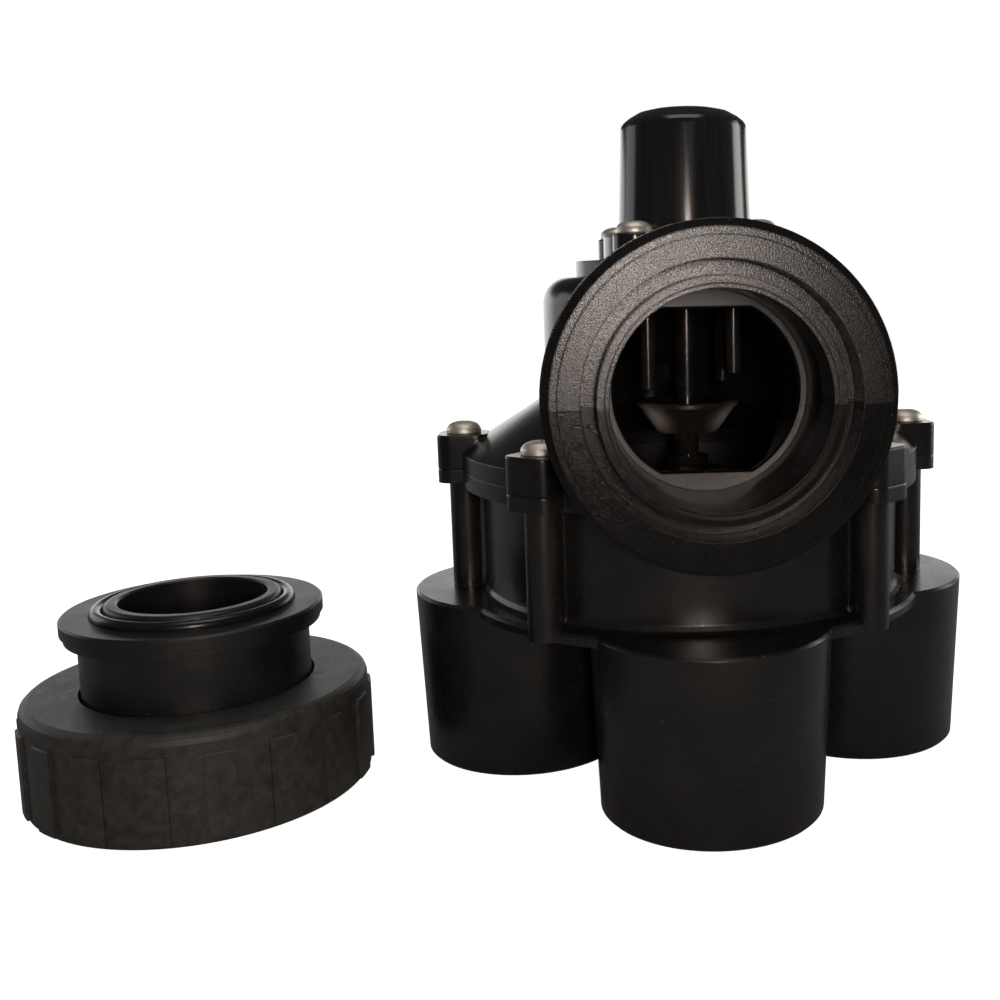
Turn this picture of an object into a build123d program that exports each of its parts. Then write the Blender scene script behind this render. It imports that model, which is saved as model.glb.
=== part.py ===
"""Multiport water valve for in-floor pool and spa cleaning lines, with its loose inlet union beside it.

Row frame, millimetres: +Z up along the valve's axis, the inlet looks along -Y, and the origin is on the axis
in the plane of the four outlet mouths, on which the valve stands.
"""
from build123d import *
from math import atan2, cos, pi, radians, sin
import os

# ---- driving dimensions -------------------------------------------------------------------------------------
SOCKET_R = 30.15              # bore of a socket for nominal 2 inch pipe
FIT = 0.3                     # running gap between pieces that move past each other
PORTS = 4                     # outlets, evenly spaced

# outlet sockets and the base plate
PORT_CIRCLE = 61.7            # radius of the circle that the outlet sockets stand on
SOCKET_MOUTH_R = 36.2         # outside radius of a socket at its mouth
SOCKET_ROOT_R = 38.6          # outside radius of a socket where it meets the base plate
SOCKET_DEPTH = 38.1           # how far a pipe goes in
PORT_R = 26.5                 # radius of the port above the pipe stop
PLATE_TOP = 60.0
PLATE_UNDER = 56.5
PLATE_R = 83.0
FLOOR_TOP = 62.0              # floor of the rotor chamber

# rotor chamber, its columns and the joint between the two housings
WALL_R = 74.5
CHAMBER_R = 69.5
LIP_UNDER = 98.0              # underside of the base's top lip
JOINT_Z = 103.7               # the plane where the two housings meet
REBATE_R = 77.2               # inside this the upper housing's spigot goes down into the base
REBATE_Z = 100.4
SEAL_IN_R, SEAL_OUT_R, SEAL_DEEP = 70.8, 73.8, 2.2    # groove for the body's seal, in the rebate's floor
SKIRT_TOP = 109.5
SKIRT_R = 81.5
SCREW_CIRCLE = 81.0
SCREW_TURNS = (40, 90, 150, 210, 270, 320)            # degrees from the inlet; none sits under it
LUG_R = 9.2
LUG_CORNER = 5.0
LUG_TOP = 115.5
COLUMN_R = 5.8
WEB = 6.0                     # width of the web that joins a column to the wall

# dome and upper chamber
DOME_R = 51.0                 # outside radius of the upper chamber
DOME_FOOT = 128.6             # where the cone runs into the upper chamber
DOME_TOP = 170.0
SHOULDER = 9.0                # rounding of the upper chamber's top edge
WALL = 5.0
BOSS_R = 39.0                 # the round pad that the stem cap sits on
BOSS_TOP = 175.5
STEM_HOLE_R = 24.5

# inlet
INLET_Z = 133.8
INLET_FACE = 100.0            # distance of the inlet's face from the valve's axis
INLET_TUBE_R = 36.5
INLET_BORE_R = 31.6
COLLAR_BACK = 83.3
COLLAR_R = 48.6               # root of the inlet thread
THREAD_R = 51.0               # crest of the inlet thread
THREAD_PITCH = 5.0
GROOVE_OUT_R = 39.8           # core-out groove between the bore's lip and the collar
GROOVE_DEPTH = 12.0
LIP_R = 35.3
WINDOW_FACE = 60.5            # where the bore narrows to the window into the chamber
WINDOW_R = 29.0
WINDOW_FLAT = 25.3            # half height of the window between its two flats
WINDOW_FLARE = 0.8
FACE_STEP_R = 46.3            # the collar's face steps back outside this
FACE_STEP = 1.5
PARTING_DROP = 1.3            # how far the mould's parting line runs below the inlet's axis
PARTING_STEP = 0.22           # the collar's face is this much lower below the parting line

# stem cap
CAP_FLANGE_TOP = 184.0
CAP_FLANGE_R = 29.0
CAP_FOOT_R = 23.6
CAP_HEAD_R = 22.2
CAP_SHOULDER = 220.7
CAP_TOP = 227.5
CAP_BORE_R = 18.6
CAP_SCREW_CIRCLE = 30.2
CAP_SCREW_TURN = 50.0         # degrees from the inlet to the first cap screw
CAP_EAR_R = 7.2

# pan head screws, quarter inch
SCREW_R = 3.1
HEAD_R = 6.25
HEAD_H = 4.3

# moving stem and rotor, drawn raised, which is how the spring leaves them with no flow
LIFT = 12.0                   # travel of the stem
ROTOR_R = 68.4
ROTOR_T = 6.0
GASKET_T = 2.0
STEM_R = 4.0
ROTOR_UNDER = FLOOR_TOP + GASKET_T + FIT + LIFT
HUB_R = 15.0
HUB_TOP = ROTOR_UNDER + 24.0
WASHER_T = 1.6
SPRING_SEAT = 72.0
SPRING_R = 8.2                # mean radius of the coils
SPRING_WIRE = 0.8             # radius of the wire
CONE_TOP = 125.5
CONE_UNDER = 114.0
PIN_Z = 194.0                 # height of the cam pin with the stem raised
PIN_R = 2.0
PIN_REACH = 12.4
CAM_R = 18.2
CAM_IN_R = 9.6
CAM_UNDER = 171.5
CAM_TOP = 201.0
POST_CIRCLE = 21.2
POST_R = 2.6

# union, standing beside the valve with its tailpiece dropped through the nut
UNION_X, UNION_Y = -173.0, -22.5
NUT_R = 56.2
RIB_R = 57.3
RIBS = 18
RIB_SHARE = 0.45              # share of each pitch that a rib takes
RIB_TURN = -8.0               # degrees from +X to the first rib
NUT_H = 35.5
NUT_HOLE_R = 38.2
NUT_FACE_T = 5.5
RIB_TOP = 29.2
TAIL_R = 37.2
TAIL_FLANGE_R = 42.3
TAIL_H = 61.5
FLANGE_T = 4.5
SPIGOT_R = 28.7
SPIGOT_H = 3.4
TAIL_BORE_R = 24.1


# ---- helpers ------------------------------------------------------------------------------------------------
def turned(points):
    """A solid of revolution about Z from (radius, height) points."""
    return revolve(Plane.XZ * make_face(Polyline(*points, close=True)), axis=Axis.Z)


def rod(radius, low, high, x=0.0, y=0.0):
    """An upright cylinder between two heights."""
    return Pos(x, y, (low + high) / 2) * Cylinder(radius, high - low)


def inlet_rod(radius, near, far):
    """A cylinder on the inlet's axis, between two distances from the valve's axis."""
    return Pos(0, -(near + far) / 2, INLET_Z) * Rot(90, 0, 0) * Cylinder(radius, far - near)


def ring(outer, inner, low, high):
    """A plain ring about Z."""
    return rod(outer, low, high) - rod(inner, low - 1, high + 1)


def place(radius, degrees):
    """X and Y at an angle that is measured from the inlet's direction, -Y, towards +X."""
    return radius * sin(radians(degrees)), -radius * cos(radians(degrees))


def port_places():
    """Centres of the outlet sockets: one under the inlet, the others spaced round from it."""
    return [place(PORT_CIRCLE, k * 360 / PORTS) for k in range(PORTS)]


def screw_places():
    """Centres of the body screws."""
    return [place(SCREW_CIRCLE, turn) for turn in SCREW_TURNS]


def cap_screw_places():
    return [place(CAP_SCREW_CIRCLE, CAP_SCREW_TURN + 90 * k) for k in range(4)]


def thread_ridge(root, crest, low, turns, pitch):
    """A helical ridge of trapezoidal section about Z, outwards if crest is over root and inwards if under."""
    deep = crest - root
    bury = -0.6 if deep > 0 else 0.6
    half_root, half_crest = 0.38 * pitch, 0.16 * pitch
    path = Helix(pitch=pitch, height=pitch * turns, radius=root, center=(0, 0, low))
    section = Plane(origin=(root, 0, low), x_dir=(1, 0, 0), z_dir=(0, -1, 0)) * make_face(
        Polyline((bury, -half_root), (deep, -half_crest), (deep, half_crest), (bury, half_root), close=True))
    return sweep(section, path=path, is_frenet=True)


def lug(low, high, x, y):
    """A screw lug: a square with well-rounded corners, one side towards the valve's axis, its rims rounded."""
    turn = Rot(0, 0, 180 + 180 / pi * atan2(x, -y))
    block = extrude(RectangleRounded(2 * LUG_R, 2 * LUG_R, LUG_CORNER), amount=high - low)
    block = fillet([e for e in block.edges() if abs(e.center().Z - (high - low)) < 0.01], 0.7)
    return Pos(x, y, low) * turn * block


def torus_seal(mean, wire, height):
    """A round-section seal lying flat."""
    return Pos(0, 0, height) * Torus(mean, wire)


# ---- base housing -------------------------------------------------------------------------------------------
def make_base():
    wall = turned([(0, 48), (12, 48), (12, PLATE_UNDER), (PLATE_R, PLATE_UNDER), (PLATE_R, PLATE_TOP - 1),
                   (PLATE_R - 1, PLATE_TOP), (WALL_R + 2.4, PLATE_TOP), (WALL_R + 0.8, PLATE_TOP + 0.7),
                   (WALL_R, PLATE_TOP + 2.4), (WALL_R, LIP_UNDER - 3), (WALL_R + 1.2, LIP_UNDER),
                   (SKIRT_R, LIP_UNDER),
                   (SKIRT_R, JOINT_Z), (REBATE_R, JOINT_Z), (REBATE_R, REBATE_Z), (CHAMBER_R, REBATE_Z),
                   (CHAMBER_R, FLOOR_TOP), (10.2, FLOOR_TOP),
                   (10.2, SPRING_SEAT), (0, SPRING_SEAT)])
    body = wall
    for x, y in port_places():
        body += Pos(x, y, 0) * turned([(0, 0), (SOCKET_MOUTH_R - 0.8, 0), (SOCKET_MOUTH_R, 0.8),
                                       (SOCKET_ROOT_R, PLATE_TOP - 0.8), (SOCKET_ROOT_R - 0.8, PLATE_TOP),
                                       (0, PLATE_TOP)])
    web = Pos(0, -(WALL_R + SCREW_CIRCLE) / 2, (PLATE_UNDER + LIP_UNDER) / 2) * Box(
        WEB, SCREW_CIRCLE - WALL_R + 4, LIP_UNDER - PLATE_UNDER)
    for turn, (x, y) in zip(SCREW_TURNS, screw_places()):
        body += Rot(0, 0, turn) * web
        body += rod(COLUMN_R, PLATE_UNDER, JOINT_Z, x, y)
        body += lug(JOINT_Z - 5.2, JOINT_Z, x, y)
    body -= rod(CHAMBER_R, FLOOR_TOP, JOINT_Z + 1) - rod(10.2, FLOOR_TOP - 1, SPRING_SEAT)
    body -= rod(REBATE_R, REBATE_Z, JOINT_Z + 1)
    for x, y in port_places():
        body -= rod(SOCKET_R, -1, SOCKET_DEPTH, x, y)
        body -= rod(PORT_R, SOCKET_DEPTH - 1, PLATE_UNDER - 4, x, y)
        port = rod(PORT_R, PLATE_UNDER - 5, FLOOR_TOP + 1, x, y)
        body -= port & rod(CHAMBER_R - 2.5, PLATE_UNDER - 5, FLOOR_TOP + 1)
    for x, y in screw_places():
        body -= rod(SCREW_R, JOINT_Z - 24, JOINT_Z + 1, x, y)
    body -= ring(SEAL_OUT_R, SEAL_IN_R, REBATE_Z - SEAL_DEEP, REBATE_Z + 1)
    body -= inlet_rod(INLET_TUBE_R + FIT / 2, REBATE_R - 2, SKIRT_R + 5)
    body -= rod(6.2, 51, SPRING_SEAT + 1)
    return body


# ---- upper housing ------------------------------------------------------------------------------------------
def window_cutter(wider, near):
    """The inlet's window: a circle cut off by two level flats, from a distance out to the bore's floor."""
    flats = Pos(0, -WINDOW_FACE, INLET_Z) * Box(3 * WINDOW_R, 3 * WINDOW_R, 2 * (WINDOW_FLAT + wider))
    return inlet_rod(WINDOW_R + wider, near, WINDOW_FACE + 1) & flats


def make_upper():
    slope = (DOME_FOOT - SKIRT_TOP) / (SKIRT_R - DOME_R)
    spigot_r = REBATE_R - FIT / 2
    outer = Plane.XZ * make_face(Polyline(
        (0, REBATE_Z), (spigot_r, REBATE_Z), (spigot_r, JOINT_Z), (SKIRT_R, JOINT_Z), (SKIRT_R, SKIRT_TOP),
        (DOME_R, DOME_FOOT), (DOME_R, DOME_TOP), (BOSS_R, DOME_TOP), (BOSS_R, BOSS_TOP), (0, BOSS_TOP),
        close=True))
    outer = revolve(outer, axis=Axis.Z)
    shoulder = [e for e in outer.edges().filter_by(GeomType.CIRCLE)
                if abs(e.radius - DOME_R) < 0.01 and abs(e.center().Z - DOME_TOP) < 0.01]
    outer = fillet(shoulder, SHOULDER)
    for x, y in screw_places():
        outer += lug(JOINT_Z, LUG_TOP, x, y)
    outer += inlet_rod(INLET_TUBE_R, 0, INLET_FACE)
    inside = turned([(0, REBATE_Z - 1), (CHAMBER_R, REBATE_Z - 1), (CHAMBER_R, JOINT_Z + 2),
                     (DOME_R - WALL, JOINT_Z + 2 + slope * (CHAMBER_R - DOME_R + WALL)),
                     (DOME_R - WALL, DOME_TOP - WALL - 5),
                     (DOME_R - WALL - 5, DOME_TOP - WALL), (0, DOME_TOP - WALL)])
    body = outer - inside
    body += inlet_rod(INLET_TUBE_R, WINDOW_FACE - 3, INLET_FACE)
    collar = inlet_rod(COLLAR_R, COLLAR_BACK, INLET_FACE - FACE_STEP)
    collar += inlet_rod(THREAD_R + 0.4, COLLAR_BACK, COLLAR_BACK + 1.6)
    collar += inlet_rod(FACE_STEP_R, COLLAR_BACK, INLET_FACE)
    collar -= Pos(0, -INLET_FACE, INLET_Z - PARTING_DROP - THREAD_R) * Box(
        3 * THREAD_R, 2 * PARTING_STEP, 2 * THREAD_R)
    body += collar
    ridge = thread_ridge(COLLAR_R, THREAD_R, 0, 2.0, THREAD_PITCH)
    body += Pos(0, -(COLLAR_BACK + 2.8), INLET_Z) * Rot(90, 0, 0) * Rot(0, 0, 135) * ridge
    body -= inlet_rod(GROOVE_OUT_R, INLET_FACE - GROOVE_DEPTH, INLET_FACE + 1) - inlet_rod(
        LIP_R, INLET_FACE - GROOVE_DEPTH - 1, INLET_FACE + 2)
    body -= inlet_rod(INLET_BORE_R, WINDOW_FACE, INLET_FACE + 1)
    body -= inlet_rod(INLET_BORE_R + 1.4, INLET_FACE - 1.0, INLET_FACE + 1)
    body -= window_cutter(0, 30)
    flare = window_cutter(WINDOW_FLARE, WINDOW_FACE - WINDOW_FLARE)
    body -= chamfer([e for e in flare.edges() if e.center().Y > 0.01 - WINDOW_FACE + WINDOW_FLARE - 0.02],
                    WINDOW_FLARE * 0.98)
    neck = inlet_rod(INLET_TUBE_R, REBATE_R - 1.8, SKIRT_R + 5)
    body -= rod(SKIRT_R + 1, 0, JOINT_Z) - rod(spigot_r, REBATE_Z, JOINT_Z + 1) - neck
    body -= rod(STEM_HOLE_R, DOME_TOP - WALL - 1, BOSS_TOP + 1)
    for x, y in screw_places():
        body -= rod(SCREW_R + 0.2, JOINT_Z - 1, LUG_TOP + 1, x, y)
        body -= rod(HEAD_R + 0.6, LUG_TOP, LUG_TOP + 14, x, y)
    for x, y in cap_screw_places():
        body -= rod(SCREW_R, DOME_TOP - 3.5, BOSS_TOP + 1, x, y)
    body -= ring(STEM_HOLE_R + 1.9, STEM_HOLE_R - 1, BOSS_TOP - 2.2, BOSS_TOP + 1)
    return body


# ---- stem cap and cam ---------------------------------------------------------------------------------------
def make_cap():
    body = turned([(0, BOSS_TOP), (CAP_FLANGE_R, BOSS_TOP), (CAP_FLANGE_R, CAP_FLANGE_TOP),
                   (CAP_FOOT_R, CAP_FLANGE_TOP), (CAP_HEAD_R, CAP_SHOULDER),
                   (CAP_HEAD_R - 0.3, CAP_SHOULDER + 1.2), (CAP_HEAD_R - 1.1, CAP_SHOULDER + 2.3),
                   (CAP_HEAD_R - 3.0, CAP_SHOULDER + 3.8), (CAP_HEAD_R - 6.2, CAP_TOP - 1.2),
                   (CAP_HEAD_R - 10, CAP_TOP - 0.3), (CAP_HEAD_R - 14.5, CAP_TOP), (0, CAP_TOP)])
    for x, y in cap_screw_places():
        ear = rod(CAP_EAR_R, BOSS_TOP, CAP_FLANGE_TOP, x, y)
        rim = [e for e in ear.edges().filter_by(GeomType.CIRCLE) if e.center().Z > CAP_FLANGE_TOP - 0.1]
        body += fillet(rim, 0.8)
    body -= rod(CAP_BORE_R, BOSS_TOP - 1, CAP_TOP - 10)
    for x, y in cap_screw_places():
        body -= rod(SCREW_R + 0.2, BOSS_TOP - 1, CAP_FLANGE_TOP + 1, x, y)
    return body


def make_cam():
    """Sleeve with a zigzag track on its inner wall, and the four posts that guide the flow below it."""
    body = ring(CAM_R, CAM_IN_R, CAM_UNDER + 1, CAM_TOP)
    body += ring(STEM_HOLE_R - 0.4, CAM_IN_R, CAM_UNDER, BOSS_TOP - 2.4)
    body += ring(CAM_R, STEM_R + 0.15, CAM_TOP - 3.5, CAM_TOP)
    steps = 6
    half = 360 / PORTS / 2
    for tooth in range(2 * PORTS):
        for k in range(steps):
            share = k / steps
            height = 1 - share if tooth % 2 == 0 else share
            body -= Rot(0, 0, (tooth + share) * half) * Pos(0, 0, PIN_Z - LIFT + LIFT * height) * (
                Rot(0, 90, 0) * Pos(0, 0, (PIN_REACH + CAM_IN_R) / 2) * Cylinder(
                    PIN_R + 0.55, PIN_REACH - CAM_IN_R + 3))
    low = PIN_Z - LIFT
    body -= Pos(0, 0, (CAM_UNDER - 1 + low) / 2) * Rot(0, 0, half) * Box(
        2 * PIN_REACH + 3, 2 * PIN_R + 1.1, low - CAM_UNDER + 1)
    for k in range(4):
        x, y = place(POST_CIRCLE, 45 + 90 * k)
        body += rod(POST_R, 131.0 if k % 2 else 136.0, CAM_UNDER + 1, x, y)
    return body


# ---- moving stem --------------------------------------------------------------------------------------------
def rotor_window(radius, low, high):
    """The window in rotor and gasket: the port's circle cut off by the chamber's wall, under the inlet."""
    x, y = place(PORT_CIRCLE, 0)
    return rod(radius, low, high, x, y) & rod(CHAMBER_R - 2.5, low, high)


def make_gasket():
    body = ring(CHAMBER_R - 0.4, 11.0, FLOOR_TOP, FLOOR_TOP + GASKET_T)
    for k in range(PORTS):
        body -= Rot(0, 0, k * 360 / PORTS) * rotor_window(PORT_R, FLOOR_TOP - 1, FLOOR_TOP + GASKET_T + 1)
    return body


def make_rotor():
    """Disc with one window, half a step round from a port, and stiffening ribs that run out from the hub."""
    top = ROTOR_UNDER + ROTOR_T
    body = turned([(11.4, ROTOR_UNDER), (ROTOR_R, ROTOR_UNDER), (ROTOR_R, top - 1), (ROTOR_R - 1, top),
                   (HUB_R + 2, top), (HUB_R, top + 2), (HUB_R - 1, HUB_TOP - 1), (HUB_R - 2, HUB_TOP),
                   (STEM_R, HUB_TOP), (STEM_R, HUB_TOP - 4), (11.4, HUB_TOP - 4)])
    for k in range(PORTS):
        body += Rot(0, 0, 90 * k) * Pos((HUB_R + 62) / 2, 0, top + 2) * Box(62 - HUB_R + 2, 3.2, 4)
    body -= Rot(0, 0, -45) * rotor_window(PORT_R - 1.5, ROTOR_UNDER - 1, top + 6)
    return body


def make_stem():
    body = rod(STEM_R, 64.5, CAM_TOP + LIFT + 2)
    return body - Pos(0, 0, PIN_Z) * Rot(0, 90, 0) * Cylinder(PIN_R, 2 * STEM_R + 2)


def make_cone():
    """Deflector on the stem, which turns the incoming flow down on to the rotor."""
    return turned([(STEM_R, CONE_UNDER), (10.8, CONE_UNDER), (11.4, CONE_UNDER + 0.6), (17.6, CONE_TOP - 2.2),
                   (18.8, CONE_TOP - 2.0), (18.8, CONE_TOP - 0.6), (18.2, CONE_TOP), (STEM_R, CONE_TOP)])


def make_spring():
    turns, foot = 5.0, SPRING_SEAT + SPRING_WIRE
    rise = (HUB_TOP - 4 - WASHER_T - SPRING_WIRE - foot) / turns
    path = Helix(pitch=rise, height=rise * turns, radius=SPRING_R, center=(0, 0, foot))
    section = Plane(origin=path @ 0, z_dir=path % 0) * Circle(SPRING_WIRE - 0.05)
    return sweep(section, path=path, is_frenet=True)


# ---- fasteners ----------------------------------------------------------------------------------------------
def pan_screw(seat, length):
    """Pan head screw with a cross recess, its head's underside at the given height."""
    body = turned([(0, seat - length), (SCREW_R - 1.4, seat - length), (SCREW_R - 0.05, seat - length + 1.5),
                   (SCREW_R - 0.05, seat), (HEAD_R - 0.2, seat), (HEAD_R, seat + HEAD_H * 0.08),
                   (HEAD_R, seat + HEAD_H * 0.32), (HEAD_R - 0.3, seat + HEAD_H * 0.52),
                   (HEAD_R - 1.0, seat + HEAD_H * 0.72), (HEAD_R - 2.1, seat + HEAD_H * 0.87),
                   (HEAD_R - 3.6, seat + HEAD_H * 0.97), (HEAD_R - 4.9, seat + HEAD_H), (0, seat + HEAD_H)])
    for turn in (0, 90):
        body -= Pos(0, 0, seat + HEAD_H) * Rot(0, 0, turn) * Box(6.0, 1.2, 3.4)
    return body


def screws(places, seat, length):
    return Compound(children=[Pos(x, y, 0) * Rot(0, 0, 37 * k + 20) * pan_screw(seat, length)
                              for k, (x, y) in enumerate(places)])


# ---- union --------------------------------------------------------------------------------------------------
def make_nut():
    body = turned([(NUT_HOLE_R, NUT_H), (NUT_R - 3.0, NUT_H), (NUT_R - 1.5, NUT_H - 0.5),
                   (NUT_R - 0.5, NUT_H - 1.5), (NUT_R, NUT_H - 3.0), (NUT_R, 0.8), (NUT_R - 0.8, 0),
                   (THREAD_R + 0.6, 0), (THREAD_R + 0.6, NUT_H - NUT_FACE_T),
                   (NUT_HOLE_R, NUT_H - NUT_FACE_T)])
    pitch = 360 / RIBS
    blank = turned([(NUT_R - 2, 1.2), (RIB_R - 0.3, 1.2), (RIB_R, 1.6), (RIB_R, RIB_TOP - 0.4),
                    (RIB_R - 0.4, RIB_TOP), (NUT_R - 2, RIB_TOP)])
    half = radians(pitch * RIB_SHARE / 2)
    far, wide = 2 * RIB_R * cos(half), 2 * RIB_R * sin(half)
    wedge = extrude(make_face(Polyline((0, 0), (far, wide), (far, -wide), close=True)), amount=RIB_TOP + 2)
    rib = blank & wedge
    for k in range(RIBS):
        body += Rot(0, 0, k * pitch + RIB_TURN) * rib
    body += thread_ridge(THREAD_R + 0.6, COLLAR_R + 0.4, 5.5, 2.6, THREAD_PITCH)
    return Pos(UNION_X, UNION_Y, 0) * body


def make_tail():
    seat = TAIL_H
    body = turned([(SOCKET_R, 0), (TAIL_R - 0.6, 0), (TAIL_R, 0.6), (TAIL_R, TAIL_H - 7),
                   (TAIL_FLANGE_R - 1.1, TAIL_H - 7), (TAIL_FLANGE_R - 1.1, TAIL_H - FLANGE_T),
                   (TAIL_FLANGE_R, TAIL_H - FLANGE_T),
                   (TAIL_FLANGE_R, TAIL_H - 0.6), (TAIL_FLANGE_R - 0.6, TAIL_H), (SPIGOT_R + 4.4, TAIL_H),
                   (SPIGOT_R + 4.4, seat - 1.6), (SPIGOT_R, seat - 1.6), (SPIGOT_R, TAIL_H + SPIGOT_H - 1.7),
                   (SPIGOT_R - 0.3, TAIL_H + SPIGOT_H - 0.8), (SPIGOT_R - 0.8, TAIL_H + SPIGOT_H - 0.3),
                   (SPIGOT_R - 1.7, TAIL_H + SPIGOT_H), (TAIL_BORE_R + 0.5, TAIL_H + SPIGOT_H),
                   (TAIL_BORE_R, TAIL_H + SPIGOT_H - 0.5), (TAIL_BORE_R, SOCKET_DEPTH),
                   (SOCKET_R, SOCKET_DEPTH)])
    return Pos(UNION_X, UNION_Y, 0) * body


def make_parts():
    union_seal_r = 2.1
    return {
        "base_housing": make_base(),
        "upper_housing": make_upper(),
        "body_o_ring": torus_seal((SEAL_IN_R + SEAL_OUT_R) / 2, 1.05, REBATE_Z - SEAL_DEEP + 1.08),
        "body_screws": screws(screw_places(), LUG_TOP, 32),
        "stem_cap": make_cap(),
        "stem_cap_screws": screws(cap_screw_places(), CAP_FLANGE_TOP, 16),
        "stem_cap_o_ring": torus_seal(STEM_HOLE_R + 0.85, 0.9, BOSS_TOP - 1.25),
        "cam_insert": make_cam(),
        "seat_gasket": make_gasket(),
        "stem_bush": ring(6.1, STEM_R + 0.1, 52, SPRING_SEAT),
        "lift_spring": make_spring(),
        "thrust_washer": ring(10.6, STEM_R + 0.2, HUB_TOP - 4 - WASHER_T - 0.05, HUB_TOP - 4.1),
        "rotor_disc": make_rotor(),
        "stem": make_stem(),
        "cam_pin": Pos(0, 0, PIN_Z) * Rot(0, 90, 0) * Cylinder(PIN_R, 2 * PIN_REACH),
        "flow_deflector": make_cone(),
        "rotor_lock_nut": extrude(Pos(0, 0, HUB_TOP) * RegularPolygon(7.5, 6), amount=5)
        - rod(STEM_R, HUB_TOP - 1, HUB_TOP + 6),
        "union_nut": make_nut(),
        "union_tailpiece": make_tail(),
        "union_o_ring": Pos(UNION_X, UNION_Y, 0) * torus_seal(SPIGOT_R + union_seal_r + 0.05, union_seal_r,
                                                              TAIL_H - 1.6 + union_seal_r),
    }


def main():
    os.makedirs("parts", exist_ok=True)
    for name, shape in make_parts().items():
        export_step(shape, f"parts/{name}.step")


main()
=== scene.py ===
import bpy
import numpy as np
from math import cos, radians, sin
from mathutils import Matrix


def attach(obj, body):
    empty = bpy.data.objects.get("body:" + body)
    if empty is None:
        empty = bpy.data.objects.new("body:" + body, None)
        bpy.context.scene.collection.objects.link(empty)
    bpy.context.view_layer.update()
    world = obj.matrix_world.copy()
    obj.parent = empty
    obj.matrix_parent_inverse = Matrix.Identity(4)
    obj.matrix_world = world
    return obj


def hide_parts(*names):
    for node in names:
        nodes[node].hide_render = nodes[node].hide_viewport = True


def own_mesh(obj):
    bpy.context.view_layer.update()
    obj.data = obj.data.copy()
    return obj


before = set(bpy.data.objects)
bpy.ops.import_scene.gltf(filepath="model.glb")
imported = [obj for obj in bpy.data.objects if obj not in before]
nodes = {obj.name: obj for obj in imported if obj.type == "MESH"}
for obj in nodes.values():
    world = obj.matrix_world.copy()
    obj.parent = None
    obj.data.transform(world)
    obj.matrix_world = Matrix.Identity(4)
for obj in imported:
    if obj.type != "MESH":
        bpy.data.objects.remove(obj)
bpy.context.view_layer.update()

# ---- camera -----------------------------------------------------------------------------------------------
# A hand-held camera in front of the inlet, a little to its left and above the inlet's axis. It looks slightly
# down, and its frame is shifted so that the loose union stays in it.
eye = np.array([-0.0425, -0.4197, 0.1657])
yaw, pitch, roll = radians(3.655), radians(7.914), radians(-1.129)
look = np.array([sin(yaw) * cos(pitch), cos(yaw) * cos(pitch), -sin(pitch)])
level = np.array([cos(yaw), -sin(yaw), 0.0])
over = np.cross(level, look)
right = level * cos(roll) + over * sin(roll)
up = over * cos(roll) - level * sin(roll)
camera = bpy.data.objects.new("camera", bpy.data.cameras.new("camera"))
bpy.context.scene.collection.objects.link(camera)
camera.matrix_world = Matrix((
    (right[0], up[0], -look[0], eye[0]),
    (right[1], up[1], -look[1], eye[1]),
    (right[2], up[2], -look[2], eye[2]),
    (0, 0, 0, 1)))
camera.data.lens = 41.84
camera.data.shift_x = -0.145
camera.data.shift_y = -0.050
camera.data.clip_start, camera.data.clip_end = 0.01, 20
bpy.context.scene.camera = camera
bpy.context.scene.view_settings.view_transform = "Standard"

# ---- room light -------------------------------------------------------------------------------------------
# A small studio: one small warm light behind the camera and a little above it, so that what faces the camera
# shines, a long pale wall behind the object that the level tops mirror, a ceiling, two side walls and dim
# light all round. Two faint glows beside and below the deflector stand for the light that comes up through
# the ports.


def soft_box(name, place, target, width, height, watts, tint, spread=180):
    """A rectangular soft light that stands at a place and faces a target, and isn't itself seen."""
    data = bpy.data.lights.new(name, "AREA")
    data.shape, data.size, data.size_y = "RECTANGLE", width, height
    data.energy, data.color, data.spread = watts, tint, radians(spread)
    light = bpy.data.objects.new(name, data)
    bpy.context.scene.collection.objects.link(light)
    away = np.array(place) - np.array(target)
    away = away / np.linalg.norm(away)
    side = np.cross((0.0, 0.0, 1.0), away)
    side = side / np.linalg.norm(side)
    top = np.cross(away, side)
    light.matrix_world = Matrix((
        (side[0], top[0], away[0], place[0]),
        (side[1], top[1], away[1], place[1]),
        (side[2], top[2], away[2], place[2]),
        (0, 0, 0, 1)))
    light.visible_camera = False


soft_box("key", (0.000, -0.62, 0.202), (-0.06, 0, 0.12), 0.06, 0.12, 0.42, (1.0, 0.87, 0.79), 110)
soft_box("pale_wall", (0.0, 1.30, 0.24), (0, 0, 0.20), 2.60, 0.40, 5.4, (1.0, 0.99, 0.97))
soft_box("left_wall", (-1.10, 0.55, 0.35), (0, 0, 0.10), 0.60, 0.60, 1.3, (0.97, 0.98, 1.0))
soft_box("right_wall", (1.20, 0.35, 0.35), (0, 0, 0.10), 0.50, 0.70, 4.4, (1.0, 0.99, 0.95))
soft_box("ceiling", (0.0, -0.10, 1.40), (0, 0, 0.10), 0.70, 0.70, 3.0, (1.0, 0.98, 0.95))
for side in (-1, 1):
    soft_box("port_glow", (0.034 * side, -0.034, 0.112), (0.012 * side, -0.008, 0.1195), 0.006, 0.006, 0.0010,
             (1.0, 0.86, 0.76), 24)

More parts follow.
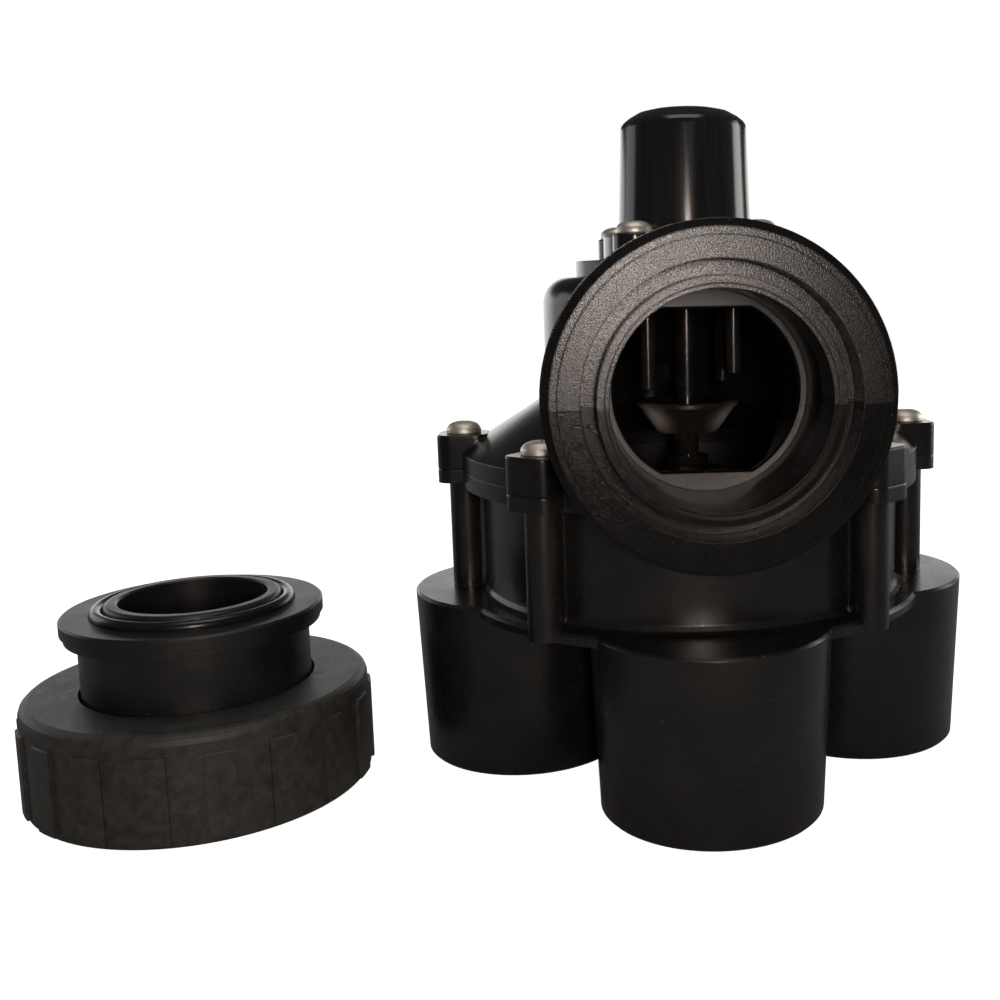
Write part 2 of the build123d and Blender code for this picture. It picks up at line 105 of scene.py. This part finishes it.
world = bpy.data.worlds.new("studio")
bpy.context.scene.world = world
world.use_nodes = True
nt = world.node_tree
nt.nodes.clear()
path = nt.nodes.new("ShaderNodeLightPath")
seen = nt.nodes.new("ShaderNodeBackground")
seen.inputs["Color"].default_value = (1, 1, 1, 1)
lit = nt.nodes.new("ShaderNodeBackground")
lit.inputs["Color"].default_value = (1.0, 0.985, 0.96, 1)
lit.inputs["Strength"].default_value = 0.06
mix = nt.nodes.new("ShaderNodeMixShader")
out = nt.nodes.new("ShaderNodeOutputWorld")
nt.links.new(path.outputs["Is Camera Ray"], mix.inputs["Fac"])
nt.links.new(lit.outputs[0], mix.inputs[1])
nt.links.new(seen.outputs[0], mix.inputs[2])
nt.links.new(mix.outputs[0], out.inputs["Surface"])

# ---- floor ------------------------------------------------------------------------------------------------
# Plain white paper, wide enough that its far edge melts into the white of the room.
floor_mesh = bpy.data.meshes.new("paper_floor")
reach, drop = 6.0, -0.0002
corners = [(-reach, -reach, drop), (reach, -reach, drop), (reach, reach, drop), (-reach, reach, drop)]
floor_mesh.from_pydata(corners, [], [(0, 1, 2, 3)])
floor = bpy.data.objects.new("paper_floor", floor_mesh)
bpy.context.scene.collection.objects.link(floor)
paper = bpy.data.materials.new("paper")
paper.use_nodes = True
nt = paper.node_tree
nt.nodes.clear()
path = nt.nodes.new("ShaderNodeLightPath")
sheet_seen = nt.nodes.new("ShaderNodeBsdfDiffuse")
sheet_seen.inputs["Color"].default_value = (0.90, 0.90, 0.90, 1)
sheet_lift = nt.nodes.new("ShaderNodeEmission")
sheet_lift.inputs["Color"].default_value = (1, 1, 1, 1)
sheet_lift.inputs["Strength"].default_value = 0.97
both = nt.nodes.new("ShaderNodeAddShader")
sheet_lit = nt.nodes.new("ShaderNodeBsdfDiffuse")
sheet_lit.inputs["Color"].default_value = (0.48, 0.47, 0.46, 1)
mix = nt.nodes.new("ShaderNodeMixShader")
out = nt.nodes.new("ShaderNodeOutputMaterial")
nt.links.new(sheet_seen.outputs[0], both.inputs[0])
nt.links.new(sheet_lift.outputs[0], both.inputs[1])
nt.links.new(path.outputs["Is Camera Ray"], mix.inputs["Fac"])
nt.links.new(sheet_lit.outputs[0], mix.inputs[1])
nt.links.new(both.outputs[0], mix.inputs[2])
nt.links.new(mix.outputs[0], out.inputs["Surface"])
floor_mesh.materials.append(paper)

# ---- the two housings -------------------------------------------------------------------------------------
# Injection-moulded black plastic. The mould was spark-eroded, so the skin is a fine pebble, coarsest on the
# inlet's collar, with cloudy patches where the melt flowed, edges rubbed paler and a trace of dust.


def new_group(name, inputs, outputs):
    """An empty shader node group with its sockets: {name: (kind, value)} in and {name: kind} out."""
    group = bpy.data.node_groups.new(name, "ShaderNodeTree")
    for key, (kind, value) in inputs.items():
        group.interface.new_socket(key, in_out="INPUT", socket_type=kind).default_value = value
    for key, kind in outputs.items():
        group.interface.new_socket(key, in_out="OUTPUT", socket_type=kind)
    return group, group.nodes.new("NodeGroupInput"), group.nodes.new("NodeGroupOutput")


def math_node(tree, operation, *values):
    """A Math node that takes sockets or plain numbers."""
    node = tree.nodes.new("ShaderNodeMath")
    node.operation = operation
    for slot, value in enumerate(values):
        if isinstance(value, (int, float)):
            node.inputs[slot].default_value = value
        else:
            tree.links.new(value, node.inputs[slot])
    return node.outputs[0]


def noise(tree, where, scale, detail, rough=0.5):
    """A Noise texture's value at a place; scale is a socket or a number, in features a metre."""
    node = tree.nodes.new("ShaderNodeTexNoise")
    node.inputs["Detail"].default_value = detail
    node.inputs["Roughness"].default_value = rough
    tree.links.new(where, node.inputs["Vector"])
    if isinstance(scale, (int, float)):
        node.inputs["Scale"].default_value = scale
    else:
        tree.links.new(scale, node.inputs["Scale"])
    return node.outputs["Fac"]


def span(tree, value, low, high, to_low=0.0, to_high=1.0):
    """A Map Range node, clamped."""
    node = tree.nodes.new("ShaderNodeMapRange")
    tree.links.new(value, node.inputs["Value"])
    for key, number in (("From Min", low), ("From Max", high), ("To Min", to_low), ("To Max", to_high)):
        node.inputs[key].default_value = number
    return node.outputs["Result"]


def blend_colour(tree, share, a, b):
    """A colour Mix node: a where share is 0 and b where it is 1."""
    node = tree.nodes.new("ShaderNodeMix")
    node.data_type = "RGBA"
    tree.links.new(share, node.inputs["Factor"])
    for key, value in (("A", a), ("B", b)):
        socket = [s for s in node.inputs if s.name == key and s.type == "RGBA"][0]
        if isinstance(value, tuple):
            socket.default_value = value
        else:
            tree.links.new(value, socket)
    return [s for s in node.outputs if s.type == "RGBA"][0]


skin_group, group_in, group_out = new_group(
    "moulded_skin",
    {"Pebble scale": ("NodeSocketFloat", 2200.0), "Cloud scale": ("NodeSocketFloat", 55.0)},
    {"Pebble": "NodeSocketFloat", "Cloud": "NodeSocketFloat", "Speck": "NodeSocketFloat"})
spot = skin_group.nodes.new("ShaderNodeTexCoord").outputs["Object"]
pebbles = noise(skin_group, spot, group_in.outputs["Pebble scale"], 2.0, 0.55)
clouds = noise(skin_group, spot, group_in.outputs["Cloud scale"], 4.0, 0.6)
specks = span(skin_group, noise(skin_group, spot, 900.0, 1.0), 0.76, 0.80)
skin_group.links.new(pebbles, group_out.inputs["Pebble"])
skin_group.links.new(clouds, group_out.inputs["Cloud"])
skin_group.links.new(specks, group_out.inputs["Speck"])

edge_group, group_in, group_out = new_group(
    "rubbed_edge",
    {"Width": ("NodeSocketFloat", 0.0005)},
    {"Edge": "NodeSocketFloat", "Normal": "NodeSocketVector"})
bevel = edge_group.nodes.new("ShaderNodeBevel")
bevel.samples = 4
edge_group.links.new(group_in.outputs["Width"], bevel.inputs["Radius"])
facing = edge_group.nodes.new("ShaderNodeNewGeometry")
dot = edge_group.nodes.new("ShaderNodeVectorMath")
dot.operation = "DOT_PRODUCT"
edge_group.links.new(bevel.outputs["Normal"], dot.inputs[0])
edge_group.links.new(facing.outputs["Normal"], dot.inputs[1])
edge_group.links.new(span(edge_group, dot.outputs["Value"], 0.99, 0.86), group_out.inputs["Edge"])
edge_group.links.new(bevel.outputs["Normal"], group_out.inputs["Normal"])


def fresh_material(name):
    """A new material, its node tree and its Principled BSDF."""
    material = bpy.data.materials.new(name)
    material.use_nodes = True
    return material, material.node_tree, material.node_tree.nodes["Principled BSDF"]


def add_group(tree, group, values):
    """Puts a node group in the tree with these socket values, and gives its outputs."""
    node = tree.nodes.new("ShaderNodeGroup")
    node.node_tree = group
    for key, value in values.items():
        node.inputs[key].default_value = value
    return node.outputs


def add_bump(tree, shader, height, metres, normal):
    """Bumps the shader's skin by a height, metres deep at 1, on top of a rounded normal."""
    bump = tree.nodes.new("ShaderNodeBump")
    bump.inputs["Distance"].default_value = metres
    tree.links.new(height, bump.inputs["Height"])
    tree.links.new(normal, bump.inputs["Normal"])
    tree.links.new(bump.outputs["Normal"], shader.inputs["Normal"])


DUST = (0.20, 0.18, 0.16, 1)
BUMP_UNIT = 0.001             # the pebble's height is counted in this many metres
COARSER = 4.0                 # how many times deeper the pebble is where the skin is coarse
COARSE_GLINT = 0.06           # how far the coarse pebble's roughness swings
POLISH = 0.10                 # how much smoother the polished skin is
# shine of plain skin, and the lower shine that paints shade where the second mask is 1
PLAIN_SHINE, SHADE_SHINE = 0.5, 0.12


def plastic(name, base, cloudy, worn, rough, rough_swing, pebble_size, pebble_depth, edge_width, coarse=None,
            polish_and_shade=None, cloud_size=55.0):
    """Black moulded plastic. Colour goes from base to cloudy with the cloud pattern, of cloud_size clouds a
    metre, and to worn on edges; roughness swings with the clouds; the pebble is a bump of the given depth in
    metres. Two masks may be given as functions of the tree: coarse is where the pebble is several times
    deeper, and the other is 1 where the skin is smoother and shines less, which paints shade there, and -1
    where it is rougher."""
    material, tree, shader = fresh_material(name)
    skin = add_group(tree, skin_group, {"Pebble scale": pebble_size, "Cloud scale": cloud_size})
    edge = add_group(tree, edge_group, {"Width": edge_width})
    colour = blend_colour(tree, span(tree, skin["Cloud"], 0.35, 0.68), base, cloudy)
    colour = blend_colour(tree, math_node(tree, "MULTIPLY", edge["Edge"], 0.6), colour, worn)
    colour = blend_colour(tree, math_node(tree, "MULTIPLY", skin["Speck"], 0.35), colour, DUST)
    tree.links.new(colour, shader.inputs["Base Color"])
    swing = span(tree, skin["Cloud"], 0.30, 0.70, rough - rough_swing, rough + rough_swing)
    height = math_node(tree, "MULTIPLY", skin["Pebble"], pebble_depth / BUMP_UNIT)
    if coarse:
        mask = coarse(tree)
        height = math_node(tree, "MULTIPLY", height, span(tree, mask, 0.0, 1.0, 1.0, COARSER))
        glint = span(tree, skin["Pebble"], 0.35, 0.65, -COARSE_GLINT, COARSE_GLINT)
        swing = math_node(tree, "ADD", swing, math_node(tree, "MULTIPLY", glint, mask))
    if polish_and_shade:
        mask = polish_and_shade(tree)
        swing = math_node(tree, "SUBTRACT", swing, math_node(tree, "MULTIPLY", mask, POLISH))
        # where that mask is 1 the shine is turned down: painted shade
        shine = span(tree, mask, 0.0, 1.0, PLAIN_SHINE, SHADE_SHINE)
        tree.links.new(shine, shader.inputs["Specular IOR Level"])
    tree.links.new(swing, shader.inputs["Roughness"])
    add_bump(tree, shader, height, BUMP_UNIT, edge["Normal"])
    shader.inputs["IOR"].default_value = 1.5
    return material


def dress(material, *names):
    """Gives whole CAD nodes one material."""
    for name in names:
        mesh = nodes[name].data
        mesh.materials.clear()
        mesh.materials.append(material)


def whereabouts(tree):
    """Object coordinates, split."""
    where = tree.nodes.new("ShaderNodeSeparateXYZ")
    tree.links.new(tree.nodes.new("ShaderNodeTexCoord").outputs["Object"], where.inputs[0])
    return where.outputs


def below(tree, value, limit, fade):
    """1 where the value is under the limit, falling to 0 over the fade above it."""
    return span(tree, value, limit + fade, limit)


def length(tree, a, b):
    """The length of a flat vector."""
    squares = [math_node(tree, "MULTIPLY", side, side) for side in (a, b)]
    return math_node(tree, "SQRT", math_node(tree, "ADD", *squares))


INLET_Z = 0.1338              # height of the inlet's axis
INSIDE_BORE_R = 0.0317        # just outside the inlet's bore, and inside its lip
INSIDE_DOME_R = 0.0470        # within the thickness of the upper chamber's wall
LEDGE_Y = -0.0605             # the window's ledge, at the bore's far end
COLLAR_Y = -0.0845            # the collar lies further out than this
PARTING_Z = 0.1323            # the collar's parting line, a little below its axis
LOWER_HALF_POLISH = 0.7


def ledge_mask(tree):
    """1 on the window's ledge at the bore's far end, and 0 elsewhere."""
    off = math_node(tree, "ABSOLUTE", math_node(tree, "SUBTRACT", whereabouts(tree)["Y"], LEDGE_Y))
    return below(tree, off, 0.0002, 0.0002)


def collar_mask(tree):
    """1 on the inlet's collar, which stands further out than the neck, and on the window's ledge."""
    return math_node(tree, "MAXIMUM", below(tree, whereabouts(tree)["Y"], COLLAR_Y, 0.0015), ledge_mask(tree))


def lower_collar_mask(tree):
    """1 on the collar's lower half, below the parting line, which is made smoother and to shine less, and 0
    elsewhere.
    """
    where = whereabouts(tree)
    return math_node(tree, "MULTIPLY", below(tree, where["Y"], COLLAR_Y, 0.0015),
                     below(tree, where["Z"], PARTING_Z, 0.0004))


def core_and_shade_mask(tree):
    """1 on what lies inside the inlet's bore circle, which a polished core shaped and where a lower shine
    paints shade, -1 on the window's ledge, a part on the collar's lower half, and 0 elsewhere, the dome's
    outside too."""
    where = whereabouts(tree)
    from_inlet_axis = length(tree, math_node(tree, "SUBTRACT", where["Z"], INLET_Z), where["X"])
    from_valve_axis = length(tree, where["Y"], where["X"])
    indoors = math_node(tree, "MAXIMUM", below(tree, where["Y"], -0.001, 0.001),
                        below(tree, from_valve_axis, INSIDE_DOME_R, 0.001))
    core = math_node(tree, "MULTIPLY", below(tree, from_inlet_axis, INSIDE_BORE_R, 0.0001), indoors)
    lower_half = math_node(tree, "MULTIPLY", lower_collar_mask(tree), LOWER_HALF_POLISH)
    polish_and_shade = math_node(tree, "MAXIMUM", core, lower_half)
    return math_node(tree, "SUBTRACT", polish_and_shade, math_node(tree, "MULTIPLY", ledge_mask(tree), 2.0))


# Inside the inlet's bore and the dome the plastic shines less, which is painted shade.
upper_black = plastic("upper_black", (0.0045, 0.0044, 0.0043, 1), (0.009, 0.0086, 0.0082, 1),
                      (0.040, 0.037, 0.034, 1), 0.24, 0.03, 2200.0, 0.000018, 0.0006, collar_mask, core_and_shade_mask)
dress(upper_black, "upper_housing")
base_black = plastic("base_black", (0.008, 0.0078, 0.0074, 1), (0.015, 0.0142, 0.013, 1),
                     (0.045, 0.041, 0.037, 1), 0.27, 0.04, 2300.0, 0.000012, 0.0006)
dress(base_black, "base_housing")

# ---- union ------------------------------------------------------------------------------------------------
# The nut is the same plastic from a coarser, older mould: greyer, duller and finely mottled, and paler on the
# edges of its grip ribs. The tailpiece, which drops through it, is smoother and blacker.
nut_black = plastic("nut_black", (0.030, 0.0292, 0.027, 1), (0.066, 0.064, 0.059, 1),
                    (0.10, 0.094, 0.084, 1), 0.46, 0.07, 2000.0, 0.000160, 0.00020, cloud_size=300.0)
dress(nut_black, "union_nut")
tail_black = plastic("tail_black", (0.010, 0.010, 0.010, 1), (0.018, 0.017, 0.016, 1),
                     (0.05, 0.047, 0.043, 1), 0.36, 0.05, 1800.0, 0.000016, 0.0005)
dress(tail_black, "union_tailpiece")

# ---- stem cap ---------------------------------------------------------------------------------------------
# A glossy moulded cap over the stem, polished in the mould, with faint upright draw lines down its sides.
FINE_BUMP = 0.00002           # depth of the cap's draw lines and of the steel's scratches
cap_black, tree, shader = fresh_material("cap_black")
edge = add_group(tree, edge_group, {"Width": 0.0008})
stretch = tree.nodes.new("ShaderNodeMapping")
stretch.inputs["Scale"].default_value = (1.0, 1.0, 0.03)
tree.links.new(tree.nodes.new("ShaderNodeTexCoord").outputs["Object"], stretch.inputs["Vector"])
draw = noise(tree, stretch.outputs["Vector"], 450.0, 3.0)
gloss_tone = blend_colour(tree, span(tree, draw, 0.35, 0.7), (0.010, 0.0105, 0.0115, 1),
                          (0.018, 0.0185, 0.019, 1))
tree.links.new(gloss_tone, shader.inputs["Base Color"])
tree.links.new(span(tree, draw, 0.3, 0.7, 0.14, 0.20), shader.inputs["Roughness"])
add_bump(tree, shader, draw, FINE_BUMP, edge["Normal"])
shader.inputs["IOR"].default_value = 1.52
dress(cap_black, "stem_cap")

# ---- screws and cam pin -----------------------------------------------------------------------------------
# Stainless steel: pan heads cold-headed and tumbled, so they are bright, slightly warm and finely scratched.
steel, tree, shader = fresh_material("stainless")
skin = add_group(tree, skin_group, {"Pebble scale": 3500.0, "Cloud scale": 300.0})
edge = add_group(tree, edge_group, {"Width": 0.0003})
warm_tone = blend_colour(tree, span(tree, skin["Cloud"], 0.3, 0.7), (0.82, 0.74, 0.64, 1),
                         (0.95, 0.89, 0.80, 1))
tree.links.new(warm_tone, shader.inputs["Base Color"])
shader.inputs["Metallic"].default_value = 1.0
tree.links.new(span(tree, skin["Cloud"], 0.3, 0.7, 0.44, 0.56), shader.inputs["Roughness"])
add_bump(tree, shader, skin["Pebble"], FINE_BUMP, edge["Normal"])
dress(steel, "body_screws", "stem_cap_screws", "cam_pin", "lift_spring")

# ---- lift spring ------------------------------------------------------------------------------------------
# The same spring as the solid one, wound from stainless wire, made again here as a coil of its own. It stands
# on its seat in the base and presses on the thrust washer.
SPRING_FOOT = 0.0728          # height of the wire's centre at the foot
SPRING_COIL_R, SPRING_WIRE_R = 0.0082, 0.00075
SPRING_TURNS, SPRING_RISE = 5, 0.00422
STEPS_A_TURN, WIRE_SIDES = 36, 12


def coil_mesh(name, steps, sides):
    """Wire of radius w round the helix (R cos a, R sin a, foot + rise a / 2 pi), as a grid of steps by sides
    points: point = centre + w (cos b * outward + sin b * binormal), with a cap at each end."""
    a = np.linspace(0, 2 * np.pi * SPRING_TURNS, steps)[:, None]
    b = np.linspace(0, 2 * np.pi, sides, endpoint=False)[None, :]
    slope = np.arctan2(SPRING_RISE, 2 * np.pi * SPRING_COIL_R)
    reach = SPRING_COIL_R + SPRING_WIRE_R * np.cos(b)
    lean = SPRING_WIRE_R * np.sin(b) * np.sin(slope)
    x = reach * np.cos(a) + lean * np.sin(a)
    y = reach * np.sin(a) - lean * np.cos(a)
    z = SPRING_FOOT + SPRING_RISE * a / (2 * np.pi) + SPRING_WIRE_R * np.sin(b) * np.cos(slope)
    points = np.stack([x, y, z], axis=-1).reshape(-1, 3)
    turned_on = [(j + 1) % sides for j in range(sides)]
    faces = [(i * sides + j, i * sides + turned_on[j], (i + 1) * sides + turned_on[j], (i + 1) * sides + j)
             for i in range(steps - 1) for j in range(sides)]
    faces += [tuple(range(sides))[::-1], tuple(range((steps - 1) * sides, steps * sides))]
    mesh = bpy.data.meshes.new(name)
    mesh.from_pydata(points.tolist(), [], faces)
    mesh.shade_smooth()
    mesh.update()
    return mesh


coil = coil_mesh("coiled_lift_spring", STEPS_A_TURN * SPRING_TURNS + 1, WIRE_SIDES)
spring = bpy.data.objects.new("coiled_lift_spring", coil)
bpy.context.scene.collection.objects.link(spring)
spring.data.materials.append(steel)
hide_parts("lift_spring")
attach(spring, "valve_body")
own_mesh(spring)

# ---- seals ------------------------------------------------------------------------------------------------
# Nitrile rubber: smooth, greased and shiny on the union's ring.
rubber = plastic("seal_rubber", (0.008, 0.008, 0.009, 1), (0.014, 0.014, 0.015, 1), (0.03, 0.03, 0.03, 1),
                 0.24, 0.05, 1200.0, 0.000008, 0.0002)
dress(rubber, "body_o_ring", "stem_cap_o_ring", "seat_gasket", "union_o_ring")

# ---- inner parts ------------------------------------------------------------------------------------------
# The cam with its posts, the bush, the washer, the stem and the lock nut are smooth black acetal. The bush,
# the washer, the stem and the lock nut have a darker copy of it, which is painted shade, and it shines less
# below the deflector, painted shade too. The rotor and the deflector are the body's plastic, from a polished
# mould.
acetal = plastic("acetal_black", (0.014, 0.013, 0.012, 1), (0.026, 0.023, 0.020, 1), (0.06, 0.055, 0.05, 1),
                 0.20, 0.05, 700.0, 0.000030, 0.0003)
dress(acetal, "cam_insert")
DEFLECTOR_FOOT_Z = 0.1142


def under_deflector_mask(tree):
    """1 on what stands lower than the deflector, in its shade, which is painted there as a lower shine, and 0
    above.
    """
    return below(tree, whereabouts(tree)["Z"], DEFLECTOR_FOOT_Z, 0.0008)


# Painted shade: a darker copy of the acetal, which shines less below the deflector.
shaded_stem_black = plastic("shaded_stem_black", (0.008, 0.0075, 0.007, 1), (0.016, 0.014, 0.012, 1),
                     (0.04, 0.036, 0.033, 1), 0.20, 0.05, 700.0, 0.000030, 0.0003,
                     polish_and_shade=under_deflector_mask)
dress(shaded_stem_black, "stem_bush", "thrust_washer", "stem", "rotor_lock_nut")
rotor_black = plastic("rotor_black", (0.014, 0.013, 0.013, 1), (0.024, 0.021, 0.019, 1),
                      (0.06, 0.055, 0.05, 1), 0.22, 0.05, 900.0, 0.000012, 0.0004)
dress(rotor_black, "rotor_disc", "flow_deflector")
